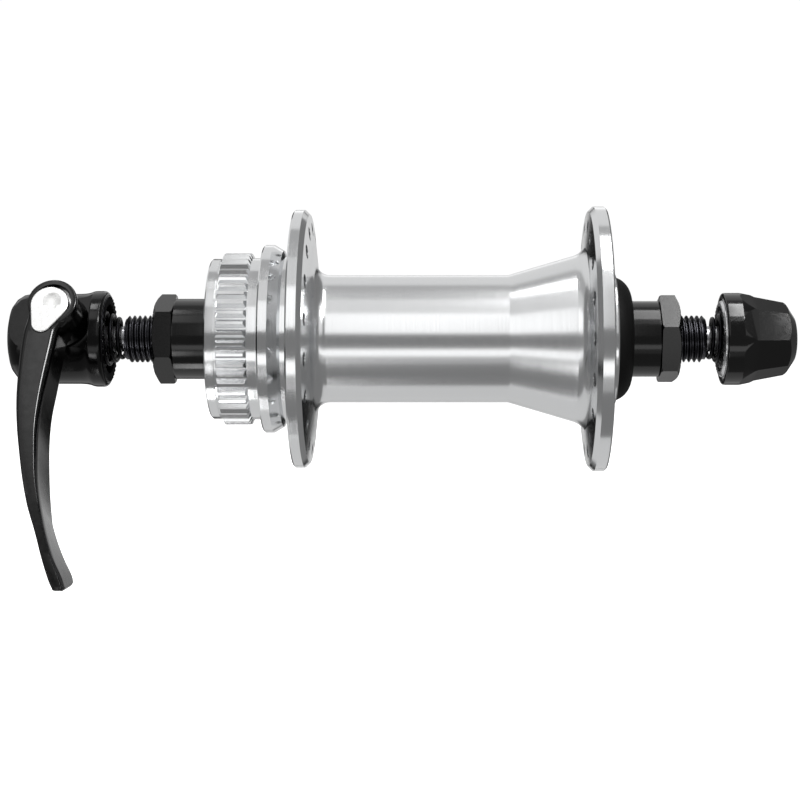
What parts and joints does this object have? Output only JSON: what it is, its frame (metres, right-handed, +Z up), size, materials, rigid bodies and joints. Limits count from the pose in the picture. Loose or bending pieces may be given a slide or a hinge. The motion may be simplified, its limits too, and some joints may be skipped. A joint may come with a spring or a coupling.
{
  "type": "bicycle front hub",
  "caption": "Front hub for a splined disc rotor, with cup-and-cone bearings and a quick-release skewer with cam lever, springs and adjusting nut.",
  "frame": {"origin": "on the axle line, midway between the outer faces of the two locknuts", "axes": "+X along the axle towards the adjusting nut (the lever side is -X), +Z up, the lever pointing down and forward to -Y"},
  "size_m": [0.1505, 0.0646, 0.0687],
  "materials": {
    "shell_aluminium": "satin, finely turned",
    "axle_steel": "dark zinc",
    "bearing_steel": "ground",
    "ball_steel": "polished",
    "cap_steel": "satin",
    "seal_rubber": "matte",
    "spacer_black": "satin",
    "locknut_black": "satin",
    "rod_steel": "bright zinc",
    "housing_black": "gloss",
    "ring_black": "dark zinc",
    "cam_steel": "polished",
    "lever_black": "gloss",
    "spring_steel": "dark zinc",
    "nut_steel": "bright zinc",
    "insert_nylon": "matte",
    "cover_black": "gloss"
  },
  "bodies": {
    "axle_set": {"axle": "axle_steel", "cone_left": "bearing_steel", "cone_right": "bearing_steel", "seal_left": "seal_rubber", "seal_right": "seal_rubber", "spacer_left": "spacer_black", "spacer_right": "spacer_black", "locknut_left": "locknut_black", "locknut_right": "locknut_black"},
    "shell": {"hub_shell": "shell_aluminium", "bearing_cup_left": "bearing_steel", "bearing_cup_right": "bearing_steel", "dust_cap_left": "cap_steel", "dust_cap_right": "cap_steel"},
    "ball_set_left": {"balls_left": "ball_steel"},
    "ball_set_right": {"balls_right": "ball_steel"},
    "skewer": {"skewer_rod": "rod_steel"},
    "cam_body": {"cam_housing": "housing_black", "clamp_ring_left": "ring_black", "spring_left": "spring_steel"},
    "lever_arm": {"lever": "lever_black", "cam_shaft": "cam_steel"},
    "nut_slide": {"nut_insert": "insert_nylon", "spring_right": "spring_steel"},
    "nut": {"nut_body": "nut_steel", "nut_cover": "cover_black"}
  },
  "joints": [
    {"name": "shell_spin", "type": "hinge", "parent": "axle_set", "child": "shell", "pos_m": [0, 0, 0], "axis": [1, 0, 0], "continuous": true},
    {"name": "balls_left_roll", "type": "hinge", "parent": "axle_set", "child": "ball_set_left", "pos_m": [0, 0, 0], "axis": [1, 0, 0], "continuous": true},
    {"name": "balls_right_roll", "type": "hinge", "parent": "axle_set", "child": "ball_set_right", "pos_m": [0, 0, 0], "axis": [1, 0, 0], "continuous": true},
    {"name": "skewer_spin", "type": "hinge", "parent": "axle_set", "child": "skewer", "pos_m": [0, 0, 0], "axis": [1, 0, 0], "continuous": true},
    {"name": "cam_travel", "type": "slide", "parent": "skewer", "child": "cam_body", "axis": [-1, 0, 0], "range_m": [0, 0.0016], "deforming": ["spring_left"]},
    {"name": "lever_turn", "type": "hinge", "parent": "cam_body", "child": "lever_arm", "pos_m": [-0.0672, 0, 0], "axis": [0, 0.891, -0.454], "range_deg": [0, 180]},
    {"name": "nut_travel", "type": "slide", "parent": "skewer", "child": "nut_slide", "axis": [1, 0, 0], "range_m": [-0.0024, 0.0064], "deforming": ["spring_right"]},
    {"name": "nut_turn", "type": "hinge", "parent": "nut_slide", "child": "nut", "pos_m": [0, 0, 0], "axis": [1, 0, 0], "range_deg": [-1080, 2880]}
  ],
  "couplings": [
    {"joint": "balls_left_roll", "follows": "shell_spin", "ratio": 0.60523},
    {"joint": "balls_right_roll", "follows": "shell_spin", "ratio": 0.60523},
    {"joint": "cam_travel", "follows": "lever_turn", "m_per_rad": 0.0005093},
    {"joint": "nut_travel", "follows": "nut_turn", "m_per_rad": 0.00012732}
  ]
}
